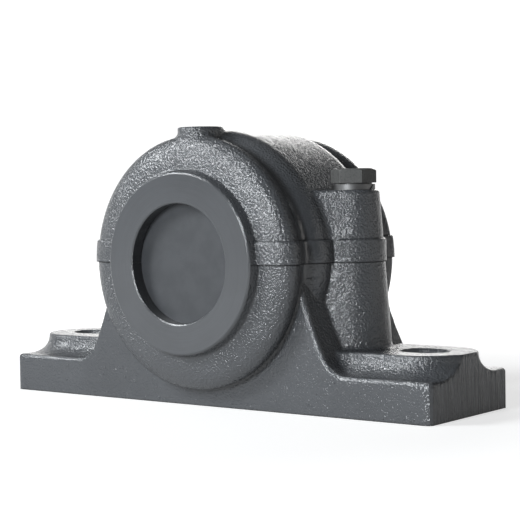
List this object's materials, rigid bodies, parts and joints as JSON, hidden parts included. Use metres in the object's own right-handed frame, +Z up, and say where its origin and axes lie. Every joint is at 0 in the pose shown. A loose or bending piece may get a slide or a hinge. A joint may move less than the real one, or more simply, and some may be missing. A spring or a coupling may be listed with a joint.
{
  "type": "split plummer block",
  "caption": "Split pillow-type cast housing on a slotted foot, closed at one end, holding a double-row self-aligning ball bearing on a tapered adapter sleeve.",
  "frame": {"origin": "underside of the foot, midway between its ends and its sides", "axes": "+X along the foot, +Y along the shaft towards its open end, +Z up; blank end faces -Y"},
  "size_m": [0.258, 0.105, 0.1355],
  "materials": {
    "painted_casting": "semi-gloss grey paint over sand-cast iron",
    "painted_cover": "semi-gloss grey paint on a turned disc",
    "bolt_steel": "hexagon bolt under the housing's grey paint",
    "washer_steel": "plain spring steel",
    "plug_steel": "plain steel",
    "ground_steel": "ground bearing steel",
    "ball_steel": "polished bearing steel",
    "sleeve_steel": "turned steel",
    "nut_steel": "turned steel, dark oxide",
    "cast_ring": "turned grey iron",
    "cage_polymer": "moulded glass-filled polyamide",
    "seal_rubber": "moulded nitrile rubber"
  },
  "bodies": {
    "housing": {"housing_base": "painted_casting", "housing_cap": "painted_casting", "cap_bolt_left": "bolt_steel", "cap_bolt_right": "bolt_steel", "spring_washer_left": "washer_steel", "spring_washer_right": "washer_steel", "dowel_pin_front_left": "ground_steel", "dowel_pin_rear_right": "ground_steel", "lubrication_plug": "plug_steel", "end_cover": "painted_cover", "cover_seal_cord": "seal_rubber", "shaft_seal_upper": "seal_rubber", "shaft_seal_lower": "seal_rubber", "locating_ring_front": "cast_ring", "locating_ring_rear": "cast_ring", "bearing_outer_ring": "ground_steel"},
    "rotor": {"adapter_sleeve": "sleeve_steel", "bearing_inner_ring": "ground_steel", "lock_washer": "washer_steel", "lock_nut": "nut_steel"},
    "ball_set": {"ball_cage": "cage_polymer", "ball_front_01": "ball_steel", "ball_front_02": "ball_steel", "ball_front_03": "ball_steel", "ball_front_04": "ball_steel", "ball_front_05": "ball_steel", "ball_front_06": "ball_steel", "ball_front_07": "ball_steel", "ball_front_08": "ball_steel", "ball_front_09": "ball_steel", "ball_front_10": "ball_steel", "ball_front_11": "ball_steel", "ball_front_12": "ball_steel", "ball_front_13": "ball_steel", "ball_front_14": "ball_steel", "ball_front_15": "ball_steel", "ball_front_16": "ball_steel", "ball_rear_01": "ball_steel", "ball_rear_02": "ball_steel", "ball_rear_03": "ball_steel", "ball_rear_04": "ball_steel", "ball_rear_05": "ball_steel", "ball_rear_06": "ball_steel", "ball_rear_07": "ball_steel", "ball_rear_08": "ball_steel", "ball_rear_09": "ball_steel", "ball_rear_10": "ball_steel", "ball_rear_11": "ball_steel", "ball_rear_12": "ball_steel", "ball_rear_13": "ball_steel", "ball_rear_14": "ball_steel", "ball_rear_15": "ball_steel", "ball_rear_16": "ball_steel"}
  },
  "joints": [
    {"name": "shaft_spin", "type": "hinge", "parent": "housing", "child": "rotor", "pos_m": [0, 0, 0.07], "axis": [0, 1, 0], "continuous": true},
    {"name": "ball_set_spin", "type": "hinge", "parent": "housing", "child": "ball_set", "pos_m": [0, 0, 0.07], "axis": [0, 1, 0], "continuous": true}
  ],
  "couplings": [
    {"joint": "ball_set_spin", "follows": "shaft_spin", "ratio": 0.4225}
  ]
}
